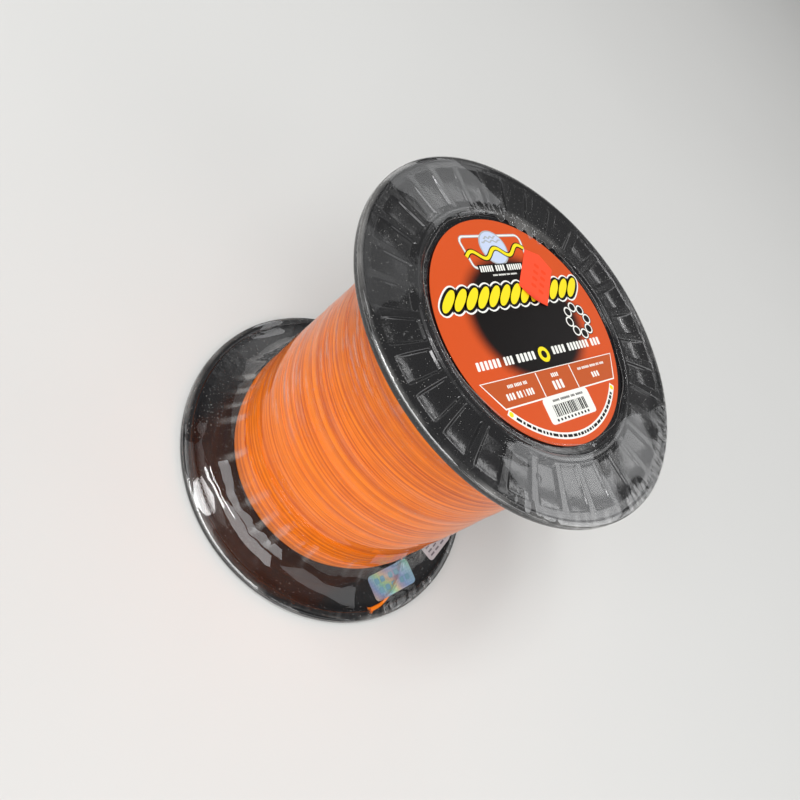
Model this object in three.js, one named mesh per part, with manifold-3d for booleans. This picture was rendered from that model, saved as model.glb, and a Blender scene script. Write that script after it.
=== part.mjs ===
// Bulk fishing line spool: two moulded flanges on a core, the wound braid, its label and stickers,
// and the clear shrink film round all of it. Millimetres. +Z runs along the spool's axis with the
// label side up, +X is the way the label reads, and the origin is under the middle of the rear face.

import * as THREE from 'three';
import { mergeVertices } from 'three/addons/utils/BufferGeometryUtils.js';
import Module from 'manifold-3d';

const wasm = await Module();
wasm.setup();

// ---- Driving dimensions -------------------------------------------------------------------------

const SIDES = 48; // facets round the spool's axis
const GAP = 0.3; // kept between pieces that touch

// One flange. Heights are counted outwards from its inner face, the face on the line's side.
const RIM_RADIUS = 60.7;
const RIM_HEIGHT = 2.6; // top of the rim lip and of the ring round the label
const RIM_FILLET = 0.8;
const LIP_WIDTH = 1.5;
const FACE_HEIGHT = 2.1;
const RING_RADIUS = 41.6; // middle of the raised ring round the label
const RING_WIDTH = 2.0;
const SEAT_RADIUS = 39.5; // recess that takes the label
const SEAT_HEIGHT = 1.5;
const POCKETS = 32;
const POCKET_INNER_RADIUS = 43.2;
const POCKET_OUTER_RADIUS = 56.7;
const POCKET_DEPTH = 0.6;
const RIB_ANGLE = THREE.MathUtils.degToRad(2.7); // left standing between two pockets

// Core, bore tube and the collars on the flanges that hold them
const FLANGE_SPACING = 107.4; // between the two inner faces
const CORE_RADIUS = 38;
const CORE_WALL = 2;
const CORE_COLLAR_WALL = 1.8;
const CORE_COLLAR_LENGTH = 8;
const BORE_RADIUS = 11;
const BORE_WALL = 2;
const BORE_COLLAR_WALL = 1.8;
const BORE_COLLAR_LENGTH = 6;

// Wound line
const BRAID_DIAMETER = 0.42;
const PACK_END_RADIUS = 42.3;
const PACK_MIDDLE_RADIUS = 44.4;
const PACK_SHOULDER = 11; // length over which the pack rises from each end

// Paper, tape and film
const PAPER = 0.15;
const LABEL_RADIUS = 37.6;
const LABEL_THICKNESS = 0.2;
const TAPE_WIDTH = 18;
const TAPE_ANGLE = THREE.MathUtils.degToRad(50);
const FILM = 0.25;
const FILM_HOLE_RADIUS = SEAT_RADIUS;
const FILM_FILLET = 7; // where the film spans the corner between a flange and the line

// ---- Heights above the rear face ----------------------------------------------------------------

const REAR_INNER_FACE = FILM + GAP + RIM_HEIGHT;
const FRONT_INNER_FACE = REAR_INNER_FACE + FLANGE_SPACING;
const TOP = FRONT_INNER_FACE + RIM_HEIGHT + GAP + FILM;
const LABEL_FLOOR = FRONT_INNER_FACE + SEAT_HEIGHT + GAP;
const LABEL_TOP = LABEL_FLOOR + LABEL_THICKNESS;
const TAIL_HEIGHT = REAR_INNER_FACE + GAP + BRAID_DIAMETER / 2;
const STICKER_FLOOR = TAIL_HEIGHT + BRAID_DIAMETER / 2 + GAP;
const FILM_OVER_STICKERS = STICKER_FLOOR + PAPER + GAP + FILM / 2;
const TAPE_RADIUS = CORE_RADIUS + GAP;
const PACK_INNER_RADIUS = TAPE_RADIUS + PAPER + GAP;

// ---- Making solids ------------------------------------------------------------------------------

// Turns a closed outline of [radius, height] points, counter-clockwise, round the Z axis.
function turned(outline) {
  const points = [...outline, outline[0]].map(([radius, height]) => new THREE.Vector2(radius, height));
  return new THREE.LatheGeometry(points, SIDES).rotateX(Math.PI / 2);
}

// A ring of rectangular section.
function tube(innerRadius, outerRadius, low, high) {
  return turned([[innerRadius, low], [outerRadius, low], [outerRadius, high], [innerRadius, high]]);
}

// A flat plate from a shape, between two heights.
function plate(shape, low, thickness, curveSegments = SIDES) {
  const options = { depth: thickness, bevelEnabled: false, curveSegments };
  return new THREE.ExtrudeGeometry(shape, options).translate(0, 0, low);
}

function discShape(radius) {
  return new THREE.Shape().absarc(0, 0, radius, 0, 2 * Math.PI);
}

// The stretch of a ring between two angles.
function sectorShape(innerRadius, outerRadius, start, end) {
  const shape = new THREE.Shape();
  shape.absarc(0, 0, outerRadius, start, end, false);
  shape.absarc(0, 0, innerRadius, end, start, true);
  shape.closePath();
  return shape;
}

function roundedRectangle(width, height, radius) {
  const x = width / 2 - radius;
  const y = height / 2 - radius;
  const shape = new THREE.Shape();
  shape.absarc(x, y, radius, 0, Math.PI / 2);
  shape.absarc(-x, y, radius, Math.PI / 2, Math.PI);
  shape.absarc(-x, -y, radius, Math.PI, 1.5 * Math.PI);
  shape.absarc(x, -y, radius, 1.5 * Math.PI, 2 * Math.PI);
  shape.closePath();
  return shape;
}

// Points on an arc of an outline, both ends included.
function arc(centre, radius, startDegrees, endDegrees, steps) {
  return Array.from({ length: steps + 1 }, (_, i) => {
    const angle = THREE.MathUtils.degToRad(startDegrees + ((endDegrees - startDegrees) * i) / steps);
    return [centre[0] + radius * Math.cos(angle), centre[1] + radius * Math.sin(angle)];
  });
}

// A closed outline of even thickness round an open line of [radius, height] points.
function band(line, thickness) {
  const side = (sign) => line.map((point, i) => {
    const before = line[Math.max(i - 1, 0)];
    const after = line[Math.min(i + 1, line.length - 1)];
    const directionIn = new THREE.Vector2(point[0] - before[0], point[1] - before[1]).normalize();
    const directionOut = new THREE.Vector2(after[0] - point[0], after[1] - point[1]).normalize();
    const along = directionIn.clone().add(directionOut).normalize();
    const straight = i === 0 ? directionOut : directionIn;
    const reach = (sign * thickness) / 2 / Math.max(along.dot(straight), 0.5);
    return [point[0] - along.y * reach, point[1] + along.x * reach];
  });
  return [...side(-1), ...side(1).reverse()];
}

function toSolid(geometry) {
  const bare = geometry.clone();
  bare.deleteAttribute('normal');
  bare.deleteAttribute('uv');
  const merged = mergeVertices(bare);
  const mesh = new wasm.Mesh({
    numProp: 3,
    vertProperties: new Float32Array(merged.attributes.position.array),
    triVerts: new Uint32Array(merged.index.array),
  });
  return new wasm.Manifold(mesh);
}

function toGeometry(solid) {
  const mesh = solid.getMesh();
  const geometry = new THREE.BufferGeometry();
  geometry.setAttribute('position', new THREE.BufferAttribute(new Float32Array(mesh.vertProperties), 3));
  geometry.setIndex(new THREE.BufferAttribute(new Uint32Array(mesh.triVerts), 1));
  geometry.computeVertexNormals();
  return geometry;
}

// ---- The pieces ---------------------------------------------------------------------------------

// A flange with its inner face at height 0 and its outer face up. Two collars on the inner face
// hold the bore tube and the core, and pockets between ribs lighten the outer face.
function flange() {
  const boreCollar = BORE_RADIUS + BORE_WALL + GAP;
  const coreCollar = CORE_RADIUS - CORE_WALL - GAP;
  const filletRadius = RIM_RADIUS - RIM_FILLET;
  const body = toSolid(turned([
    [BORE_RADIUS, 0],
    [boreCollar, 0],
    [boreCollar, -BORE_COLLAR_LENGTH],
    [boreCollar + BORE_COLLAR_WALL, -BORE_COLLAR_LENGTH],
    [boreCollar + BORE_COLLAR_WALL, 0],
    [coreCollar - CORE_COLLAR_WALL, 0],
    [coreCollar - CORE_COLLAR_WALL, -CORE_COLLAR_LENGTH],
    [coreCollar, -CORE_COLLAR_LENGTH],
    [coreCollar, 0],
    ...arc([filletRadius, RIM_FILLET], RIM_FILLET, -90, 0, 2),
    ...arc([filletRadius, RIM_HEIGHT - RIM_FILLET], RIM_FILLET, 0, 90, 2),
    [RIM_RADIUS - LIP_WIDTH, RIM_HEIGHT],
    [RIM_RADIUS - LIP_WIDTH - RIM_HEIGHT + FACE_HEIGHT, FACE_HEIGHT],
    [RING_RADIUS + RING_WIDTH / 2, FACE_HEIGHT],
    [RING_RADIUS + RING_WIDTH / 4, RIM_HEIGHT],
    [RING_RADIUS - RING_WIDTH / 4, RIM_HEIGHT],
    [RING_RADIUS - RING_WIDTH / 2, FACE_HEIGHT],
    [SEAT_RADIUS, FACE_HEIGHT],
    [SEAT_RADIUS, SEAT_HEIGHT],
    [BORE_RADIUS, SEAT_HEIGHT],
  ]));
  const pitch = (2 * Math.PI) / POCKETS;
  const pocketShape = sectorShape(
    POCKET_INNER_RADIUS, POCKET_OUTER_RADIUS, RIB_ANGLE / 2, pitch - RIB_ANGLE / 2,
  );
  let solid = body;
  for (let i = 0; i < POCKETS; i += 1) {
    const cutter = plate(pocketShape, FACE_HEIGHT - POCKET_DEPTH, RIM_HEIGHT, 1).rotateZ(i * pitch);
    solid = solid.subtract(toSolid(cutter));
  }
  return toGeometry(solid);
}

function frontFlange() {
  return flange().translate(0, 0, FRONT_INNER_FACE);
}

// The same moulding, turned over about the X axis.
function rearFlange() {
  return flange().rotateX(Math.PI).translate(0, 0, REAR_INNER_FACE);
}

function coreBarrel() {
  const low = REAR_INNER_FACE + GAP;
  const high = FRONT_INNER_FACE - GAP;
  return tube(CORE_RADIUS - CORE_WALL, CORE_RADIUS, low, high);
}

function arborTube() {
  const low = REAR_INNER_FACE + GAP;
  const high = FRONT_INNER_FACE - GAP;
  return tube(BORE_RADIUS, BORE_RADIUS + BORE_WALL, low, high);
}

// The strip that holds the first turn of line on the core.
function anchorTape() {
  const shape = sectorShape(TAPE_RADIUS, TAPE_RADIUS + PAPER, 0, TAPE_ANGLE);
  const middle = (REAR_INNER_FACE + FRONT_INNER_FACE) / 2;
  return plate(shape, middle - TAPE_WIDTH / 2, TAPE_WIDTH, 8);
}

// The wound braid: level along most of its length and lower at both ends.
function linePack() {
  const low = REAR_INNER_FACE + GAP;
  const high = FRONT_INNER_FACE - GAP;
  const shoulder = (end, direction) => [0, 0.25, 1].map((part) => {
    const rise = 1 - (1 - part) ** 2;
    const radius = PACK_END_RADIUS + (PACK_MIDDLE_RADIUS - PACK_END_RADIUS) * rise;
    return [radius, end + direction * PACK_SHOULDER * part];
  });
  return turned([
    [PACK_INNER_RADIUS, low],
    ...shoulder(low, 1),
    ...shoulder(high, -1).reverse(),
    [PACK_INNER_RADIUS, high],
  ]);
}

// The loose end of the braid, from the line, under the sticker and out by the rim.
function lineTail() {
  const route = [
    [10.8, -41.8], [9.4, -45.4], [4.4, -50.8], [-1.6, -54.6], [-6.8, -56.2], [-11.7, -56.4],
  ];
  const path = new THREE.CatmullRomCurve3(route.map(([x, y]) => new THREE.Vector3(x, y, TAIL_HEIGHT)));
  const section = discShape(BRAID_DIAMETER / 2);
  return new THREE.ExtrudeGeometry(section, { steps: 16, curveSegments: 4, extrudePath: path });
}

function frontLabel() {
  return plate(discShape(LABEL_RADIUS), LABEL_FLOOR, LABEL_THICKNESS);
}

// A price-gun sticker: a strip with a blunt point at each end.
function priceSticker() {
  const halfLength = 10.7;
  const halfWidth = 6;
  const point = 2.3;
  const shape = new THREE.Shape([
    new THREE.Vector2(halfLength, 0),
    new THREE.Vector2(halfLength - point, halfWidth),
    new THREE.Vector2(point - halfLength, halfWidth),
    new THREE.Vector2(-halfLength, 0),
    new THREE.Vector2(point - halfLength, -halfWidth),
    new THREE.Vector2(halfLength - point, -halfWidth),
  ]);
  const turn = THREE.MathUtils.degToRad(47.5);
  return plate(shape, LABEL_TOP + GAP, PAPER).rotateZ(turn).translate(13.4, 15.9, 0);
}

// A rounded sticker on the inner face of the rear flange.
function innerSticker(width, height, x, y, turnDegrees) {
  const shape = roundedRectangle(width, height, 1.5);
  const turn = THREE.MathUtils.degToRad(turnDegrees);
  return plate(shape, STICKER_FLOOR, PAPER, 3).rotateZ(turn).translate(x, y, 0);
}

function hologramSticker() {
  return innerSticker(20, 9.5, 2.1, -50.1, 2.4);
}

function lotSticker() {
  return innerSticker(17, 8.5, 29.3, -43.3, 21.6);
}

// The film's bend round a rim, from the outer face to the inner one, in the flange's own heights.
function rimWrap(innerHeight) {
  const radius = RIM_FILLET + GAP + FILM / 2;
  const centre = RIM_RADIUS - RIM_FILLET;
  const lower = innerHeight + radius;
  return [
    ...arc([centre, RIM_HEIGHT - RIM_FILLET], radius, 90, 0, 2),
    ...arc([centre, lower], radius, 0, -90, 2),
  ];
}

// Film over the front face, round the front rim, down over the line and out to the rear rim.
function shrinkFilm() {
  const skin = GAP + FILM / 2;
  const middleRadius = PACK_MIDDLE_RADIUS + skin;
  const filletCentre = middleRadius + FILM_FILLET;
  const frontInside = FRONT_INNER_FACE - skin;
  const rearWrapRadius = RIM_FILLET + skin;
  const rearRim = RIM_RADIUS - RIM_FILLET;
  const line = [
    [FILM_HOLE_RADIUS, TOP - FILM / 2],
    ...rimWrap(-skin).map(([radius, height]) => [radius, FRONT_INNER_FACE + height]),
    ...arc([filletCentre, frontInside - FILM_FILLET], FILM_FILLET, 90, 180, 3),
    ...arc([filletCentre, FILM_OVER_STICKERS + FILM_FILLET], FILM_FILLET, 180, 270, 3),
    ...arc([rearRim, FILM_OVER_STICKERS - rearWrapRadius], rearWrapRadius, 90, 0, 2),
    [RIM_RADIUS + skin, REAR_INNER_FACE - RIM_FILLET],
  ];
  return turned(band(line, FILM));
}

// Where the film is gathered round the rear rim and over the rear face, which the spool stands on.
function shrinkFilmRearFold() {
  const skin = GAP + FILM / 2;
  const line = [
    [RIM_RADIUS + skin, REAR_INNER_FACE - RIM_FILLET - GAP],
    ...arc([RIM_RADIUS - RIM_FILLET, FILM / 2 + RIM_FILLET + skin], RIM_FILLET + skin, 0, -90, 2),
    [FILM_HOLE_RADIUS, FILM / 2],
  ];
  return turned(band(line, FILM));
}

// ---- The model ----------------------------------------------------------------------------------

const BLACK = 0x17171a;
const ORANGE = 0xf07a22;
const FILM_TINT = 0xdfe6ea;

// name, solid, colour, roughness, opacity
const pieces = [
  ['front_flange', frontFlange(), BLACK, 0.35, 1],
  ['rear_flange', rearFlange(), BLACK, 0.35, 1],
  ['core_barrel', coreBarrel(), BLACK, 0.5, 1],
  ['arbor_tube', arborTube(), BLACK, 0.5, 1],
  ['anchor_tape', anchorTape(), 0xe9dfc0, 0.6, 1],
  ['line_pack', linePack(), ORANGE, 0.6, 1],
  ['line_tail', lineTail(), ORANGE, 0.6, 1],
  ['front_label', frontLabel(), 0xde5a2d, 0.4, 1],
  ['price_sticker', priceSticker(), 0xff5030, 0.6, 1],
  ['hologram_sticker', hologramSticker(), 0x9fd8b8, 0.3, 1],
  ['lot_sticker', lotSticker(), 0xd8d3d6, 0.5, 1],
  ['shrink_film', shrinkFilm(), FILM_TINT, 0.1, 0.25],
  ['shrink_film_rear_fold', shrinkFilmRearFold(), FILM_TINT, 0.1, 0.25],
];

const spool = new THREE.Group();
for (const [name, geometry, color, roughness, opacity] of pieces) {
  const material = new THREE.MeshStandardMaterial({
    color, roughness, metalness: 0, opacity, transparent: opacity < 1,
  });
  const mesh = new THREE.Mesh(geometry, material);
  mesh.name = name;
  spool.add(mesh);
}

export default spool;
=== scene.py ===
import math

import bpy
import numpy as np
from mathutils import Matrix, Vector


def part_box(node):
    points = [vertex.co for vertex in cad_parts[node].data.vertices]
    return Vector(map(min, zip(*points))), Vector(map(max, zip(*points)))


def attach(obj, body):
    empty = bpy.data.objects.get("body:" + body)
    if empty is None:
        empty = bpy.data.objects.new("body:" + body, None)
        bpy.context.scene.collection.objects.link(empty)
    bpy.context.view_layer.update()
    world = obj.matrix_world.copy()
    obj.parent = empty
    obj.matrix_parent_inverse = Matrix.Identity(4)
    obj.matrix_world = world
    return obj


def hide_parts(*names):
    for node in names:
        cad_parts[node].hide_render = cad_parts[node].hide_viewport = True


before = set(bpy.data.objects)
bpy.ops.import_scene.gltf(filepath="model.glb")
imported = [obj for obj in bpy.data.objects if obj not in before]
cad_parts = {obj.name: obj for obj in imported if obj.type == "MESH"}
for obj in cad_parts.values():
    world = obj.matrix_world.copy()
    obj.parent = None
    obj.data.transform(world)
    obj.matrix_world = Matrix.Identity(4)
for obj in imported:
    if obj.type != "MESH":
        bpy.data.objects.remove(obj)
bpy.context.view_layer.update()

bl_info = {
    "name": "Line Spool Workshop",
    "version": (1, 0, 0),
    "blender": (4, 5, 0),
    "location": "3D View > Sidebar > Spool",
    "description": "Builds a shrink-wrapped spool of braided fishing line round its packed frame",
    "category": "Object",
}

MM = 0.001

# Planes and radii that the frame gives
FLANGE_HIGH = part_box("front_flange")[1]
REAR_LOW, REAR_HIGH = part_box("rear_flange")
PACK_LOW, PACK_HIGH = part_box("line_pack")
LABEL_LOW, LABEL_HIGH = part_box("front_label")
BARREL_LOW, BARREL_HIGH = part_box("core_barrel")
ARBOR_LOW, ARBOR_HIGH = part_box("arbor_tube")
MIDDLE_HEIGHT = (FLANGE_HIGH.z + REAR_LOW.z) / 2
COLLARS = 8.0 * MM  # how far the collars reach past a flange's inner face
PACK_END = 42.3 * MM  # radius of the wound line at its ends
PACK_MIDDLE = 44.4 * MM
PACK_INNER = 38.75 * MM
RIB_PLACE = 50 * MM  # radius at which the ribs' width is given
LENS_SHIFT = (-0.0919, -0.0966)

# Round marks that the mould's pins leave in two pockets
PIN_CIRCLE = 48.8 * MM
PIN_ANGLES = (176.1, 238.3)
PIN_RADIUS = 1.2 * MM
PIN_EDGE = 0.3 * MM

# Stickers: x and y of the middle in millimetres, and the turn in degrees
PRICE_PLACE = (13.4, 15.9, 47.5)
SEAL_PLACE = (2.1, -50.1, 2.4)
LOT_PLACE = (29.3, -43.3, 21.6)


# ---- Settings shown in the panel -----------------------------------------------------------------


def linear(red, green, blue):
    """A screen colour from 0 to 255 as the linear colour that shaders use."""
    def one(value):
        value /= 255
        return value / 12.92 if value <= 0.04045 else ((value + 0.055) / 1.055) ** 2.4
    return one(red), one(green), one(blue)


def length(name, description, default):
    return bpy.props.FloatProperty(
        name=name, description=description, default=default, unit="LENGTH", min=0.0, precision=5
    )


def colour(name, description, *screen):
    return bpy.props.FloatVectorProperty(
        name=name, description=description, default=linear(*screen), subtype="COLOR",
        min=0.0, max=1.0, size=3,
    )


class FlangeSettings(bpy.types.PropertyGroup):
    """The moulded flanges. Heights are counted outwards from the face on the line's side."""

    radius: length("Radius", "Outer radius of the rim", FLANGE_HIGH.x)
    rim_height: length("Rim height", "Top of the rim lip and of the ring round the label", 2.6 * MM)
    face_height: length("Face height", "Outer face between the ring and the rim", 2.1 * MM)
    seat_height: length("Seat height", "Floor of the recess that takes the label", 1.5 * MM)
    seat_radius: length("Seat radius", "Radius of the recess that takes the label", 39.5 * MM)
    ring_radius: length("Ring radius", "Middle of the raised ring round the label", 41.6 * MM)
    pocket_depth: length("Pocket depth", "Depth of the pockets between the ribs", 0.6 * MM)
    rib_width: length("Rib width", "Width of the ribs at 50 mm from the axis", 2.36 * MM)
    wall_width: length("Wall width", "Width of the steep walls of the pockets", 0.5 * MM)
    pockets: bpy.props.IntProperty(name="Pockets", description="Pockets round a flange", default=32)
    plastic: colour("Plastic", "Moulded black plastic", 17, 17, 19)


class LineSettings(bpy.types.PropertyGroup):
    """The wound braid."""

    braid: length("Braid", "Diameter of the braid", 0.42 * MM)
    unevenness: length("Unevenness", "How far the wound surface wanders", 0.055 * MM)
    riders: bpy.props.IntProperty(
        name="Riders", description="Turns that cross over the others", default=46
    )
    # The braid's colour is mixed from the bright colour to the deep one. The deep end is partly darker
    # dyed turns and partly painted shade between the turns and on sunk turns.
    bright: colour("Bright", "Dyed braid where it is clean", 250, 133, 0)
    deep_and_shade: colour("Deep", "Dyed braid between the turns", 196, 76, 0)


class PrintSettings(bpy.types.PropertyGroup):
    """The label and the stickers."""

    label: colour("Label", "Ground colour of the label", 206, 81, 33)
    yellow: colour("Yellow", "Yellow ink", 240, 220, 34)
    white: colour("White", "White ink", 238, 238, 232)
    black: colour("Black", "Black ink", 16, 12, 12)
    table: colour("Table", "Panel behind the table", 188, 86, 40)
    ice: colour("Ice", "Pale blue ink", 196, 208, 232)
    steel: colour("Steel", "Grey ink", 170, 176, 180)
    price: colour("Price sticker", "Fluorescent paper", 255, 78, 40)
    lot: colour("Lot sticker", "Coated paper", 205, 198, 202)


class FilmSettings(bpy.types.PropertyGroup):
    """The shrink film."""

    stand_off: length("Stand-off", "Gap between the film and what it covers", 0.07 * MM)
    hole_radius: length("Hole", "Radius of the hole left over the label", 39.4 * MM)
    fillet: length("Fillet", "Bend where the film spans a corner", 15.0 * MM)
    haze: bpy.props.FloatProperty(name="Haze", description="Milkiness of the film", default=0.006)


class StageSettings(bpy.types.PropertyGroup):
    """Camera, lights and floor."""

    heading: bpy.props.FloatProperty(
        name="Heading", description="Where the camera looks, from +X towards +Y",
        default=math.radians(17.85), subtype="ANGLE",
    )
    tilt: bpy.props.FloatProperty(
        name="Tilt", description="How far the camera looks down",
        default=math.radians(38.43), subtype="ANGLE",
    )
    roll: bpy.props.FloatProperty(
        name="Roll", description="How far the camera leans over",
        default=math.radians(53.94), subtype="ANGLE",
    )
    place: bpy.props.FloatVectorProperty(
        name="Place", description="Camera from the middle of the spool", size=3,
        default=(-183.06 * MM, -47.35 * MM, 188.64 * MM), subtype="TRANSLATION",
    )
    lens: bpy.props.FloatProperty(name="Lens", description="Focal length in mm", default=34.83)
    floor: colour("Floor", "Pale floor", 214, 214, 212)
    room: bpy.props.FloatProperty(name="Room", description="Light from all round", default=0.13)


# ---- Meshes --------------------------------------------------------------------------------------


def grid_mesh(name, points, wrap_rows=False, wrap_columns=True):
    """A mesh of quads through an array of points, rows by columns by 3."""
    rows, columns = points.shape[:2]
    index = np.arange(rows * columns).reshape(rows, columns)
    if wrap_rows:
        index = np.vstack([index, index[:1]])
    if wrap_columns:
        index = np.hstack([index, index[:, :1]])
    quads = np.stack(
        [index[:-1, :-1], index[:-1, 1:], index[1:, 1:], index[1:, :-1]], axis=-1
    ).reshape(-1, 4)
    mesh = bpy.data.meshes.new(name)
    mesh.from_pydata(points.reshape(-1, 3).tolist(), [], quads.tolist())
    mesh.shade_smooth()
    return mesh


def joined_mesh(name, parts):
    """One mesh from several lists of (points, faces, material number)."""
    points, faces, slots = [], [], []
    for part_points, part_faces, slot in parts:
        start = len(points)
        points += [tuple(p) for p in part_points]
        faces += [tuple(start + i for i in face) for face in part_faces]
        slots += [slot] * len(part_faces)
    mesh = bpy.data.meshes.new(name)
    mesh.from_pydata(points, [], faces)
    mesh.polygons.foreach_set("material_index", slots)
    mesh.update()
    return mesh


def rounded(outline, closed=True, steps=4):
    """The points of an outline of (x, y, fillet) corners, with each corner rounded."""
    points, count = [], len(outline)
    for i, (x, y, fillet) in enumerate(outline):
        corner = np.array([x, y], float)
        if fillet == 0 or (not closed and i in (0, count - 1)):
            points.append(corner)
            continue
        before = np.array(outline[i - 1][:2]) - corner
        after = np.array(outline[(i + 1) % count][:2]) - corner
        before /= np.linalg.norm(before)
        after /= np.linalg.norm(after)
        half = math.acos(np.clip(before @ after, -1, 1)) / 2
        reach = fillet / math.tan(half)
        middle = (before + after) / np.linalg.norm(before + after)
        centre = corner + middle * fillet / math.sin(half)
        start = corner + before * reach - centre
        end = corner + after * reach - centre
        turn = math.atan2(start[0] * end[1] - start[1] * end[0], start @ end)
        for k in range(steps + 1):
            angle = turn * k / steps
            points.append(centre + [
                start[0] * math.cos(angle) - start[1] * math.sin(angle),
                start[0] * math.sin(angle) + start[1] * math.cos(angle),
            ])
    return np.array(points)


def refined(points, step, closed=True):
    """The same line with no stretch longer than step."""
    ends = np.roll(points, -1, axis=0) if closed else points[1:]
    starts = points if closed else points[:-1]
    line = []
    for a, b in zip(starts, ends):
        count = max(1, math.ceil(np.linalg.norm(b - a) / step))
        line += [a + (b - a) * k / count for k in range(count)]
    if not closed:
        line.append(points[-1])
    return np.array(line)


def turned(profile, columns):
    """Points of a profile of (radius, height) turned round the axis, rows by columns by 3.
    columns is a count of even steps or a list of angles."""
    angles = np.asarray(columns)
    if angles.ndim == 0:
        angles = np.linspace(0, math.tau, columns, endpoint=False)
    radius, height = profile[:, :1], profile[:, 1:]
    return np.stack([radius * np.cos(angles), radius * np.sin(angles), height + 0 * angles], axis=-1)


def smooth_step(low, high, value):
    share = np.clip((value - low) / (high - low), 0.0, 1.0)
    return share * share * (3 - 2 * share)


def ripple(angle, along, seed, turns, waves, terms=14):
    """Smooth unevenness of about unit size. turns and waves say how many times it may swing round
    the axis and along the profile, as (least, most)."""
    draw = np.random.default_rng(seed)
    total = 0
    for _ in range(terms):
        around = draw.integers(turns[0], turns[1] + 1)
        length_waves = draw.uniform(*waves)
        phase = draw.uniform(0, math.tau)
        lean = draw.choice([-1, 1])
        total = total + np.sin(lean * around * angle + math.tau * length_waves * along + phase)
    return total / math.sqrt(terms / 2)


def marked(mesh, **values):
    """Stores numbers on the points of a mesh for its material to read."""
    for label, numbers in values.items():
        attribute = mesh.attributes.new(label, "FLOAT", "POINT")
        filled = np.broadcast_to(np.asarray(numbers, np.float32), (len(mesh.vertices),))
        attribute.data.foreach_set("value", np.ascontiguousarray(filled))
    return mesh


def tube_mesh_part(path, radii, sides=8, flat=1.0):
    """A closed tube along a path of points. flat squeezes its section's height."""
    path = np.asarray(path, float)
    tangent = np.gradient(path, axis=0)
    tangent /= np.linalg.norm(tangent, axis=1, keepdims=True)
    up = np.array([0.0, 0.0, 1.0])
    side = np.cross(tangent, up)
    side /= np.maximum(np.linalg.norm(side, axis=1, keepdims=True), 1e-9)
    rise = np.cross(side, tangent)
    angles = np.linspace(0, math.tau, sides, endpoint=False)
    radii = np.broadcast_to(np.asarray(radii, float), (len(path),))
    ring = (
        path[:, None]
        + radii[:, None, None] * np.cos(angles)[None, :, None] * side[:, None]
        + radii[:, None, None] * flat * np.sin(angles)[None, :, None] * rise[:, None]
    )
    points = [*ring.reshape(-1, 3), path[0], path[-1]]
    first, last = len(points) - 2, len(points) - 1
    faces = []
    for i in range(len(path) - 1):
        for k in range(sides):
            a, b = i * sides + k, i * sides + (k + 1) % sides
            faces.append((a, b, b + sides, a + sides))
    end = (len(path) - 1) * sides
    for k in range(sides):
        faces.append((first, (k + 1) % sides, k))
        faces.append((last, end + k, end + (k + 1) % sides))
    return points, faces


def pillow(outline, low, high, rings=10, lift=None):
    """A closed plate over an outline of (x, y) points. lift(x, y) raises it."""
    outline = np.asarray(outline, float)
    middle = outline.mean(axis=0)
    shares = np.linspace(0, 1, rings + 1)[1:]
    count = len(outline)

    def layer(height):
        points = [np.append(middle, height)]
        for share in shares:
            points += [np.append(middle + (p - middle) * share, height) for p in outline]
        return points

    points = layer(low) + layer(high)
    if lift is not None:
        for p in points:
            p[2] += lift(p[0], p[1])
    top = 1 + rings * count
    faces = []
    for k in range(count):
        after = (k + 1) % count
        faces.append((0, 1 + after, 1 + k))
        faces.append((top, top + 1 + k, top + 1 + after))
        for ring in range(rings - 1):
            a, b = 1 + ring * count + k, 1 + ring * count + after
            faces.append((a, b, b + count, a + count))
            faces.append((top + b, top + a, top + a + count, top + b + count))
        a, b = 1 + (rings - 1) * count + k, 1 + (rings - 1) * count + after
        faces.append((a, b, top + b, top + a))
    return points, faces


def piece(name, mesh, materials, slot, *nodes, sharp=40):
    """Puts a mesh in the scene as a piece that rides on the spool and stands for CAD nodes."""
    mesh.name = name
    obj = bpy.data.objects.new(name, mesh)
    bpy.context.scene.collection.objects.link(obj)
    for material in materials:
        mesh.materials.append(material)
    mesh.shade_smooth()
    if sharp:
        mesh.set_sharp_from_angle(angle=math.radians(sharp))
    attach(obj, "root")
    if nodes:
        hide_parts(*nodes)
    return obj


# ---- Shader nodes --------------------------------------------------------------------------------


def plug(tree, node, inputs):
    """Links or sets a node's inputs."""
    for key, value in dict(inputs).items():
        if isinstance(value, bpy.types.NodeSocket):
            tree.links.new(value, node.inputs[key])
        else:
            node.inputs[key].default_value = value


def add(tree, kind, inputs=(), **settings):
    """A new node with its settings and its input values or links."""
    node = tree.nodes.new("ShaderNode" + kind)
    for key, value in settings.items():
        setattr(node, key, value)
    plug(tree, node, inputs)
    return node


def maths(tree, operation, *values, clamp=False):
    return add(tree, "Math", dict(enumerate(values)), operation=operation, use_clamp=clamp).outputs[0]


def mix_colours(tree, factor, first, second):
    node = add(tree, "Mix", data_type="RGBA")
    ends = {key: shade if isinstance(shade, bpy.types.NodeSocket) else (*shade, 1.0)
            for key, shade in ((6, first), (7, second))}
    plug(tree, node, {0: factor, **ends})
    return node.outputs[2]


def ramp(tree, factor, *stops):
    """A colour ramp through (place, colour) stops."""
    node = add(tree, "ValToRGB", {0: factor})
    elements = node.color_ramp.elements
    while len(elements) < len(stops):
        elements.new(0.5)
    for element, (place, shade) in zip(elements, stops):
        element.position = place
        element.color = (*shade, 1.0)
    return node.outputs[0]


def place_of(tree):
    return add(tree, "TexCoord").outputs["Object"]


def noise(tree, vector, scale, detail, output=0):
    settings = {"Vector": vector, "Scale": scale, "Detail": detail}
    return add(tree, "TexNoise", settings).outputs[output]


def tinted(shade, by):
    """A colour made lighter or darker by a factor."""
    return tuple(min(1.0, by * part) for part in shade)


def new_material(name):
    material = bpy.data.materials.new(name)
    material.use_nodes = True
    return material, material.node_tree, material.node_tree.nodes["Principled BSDF"]


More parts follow.
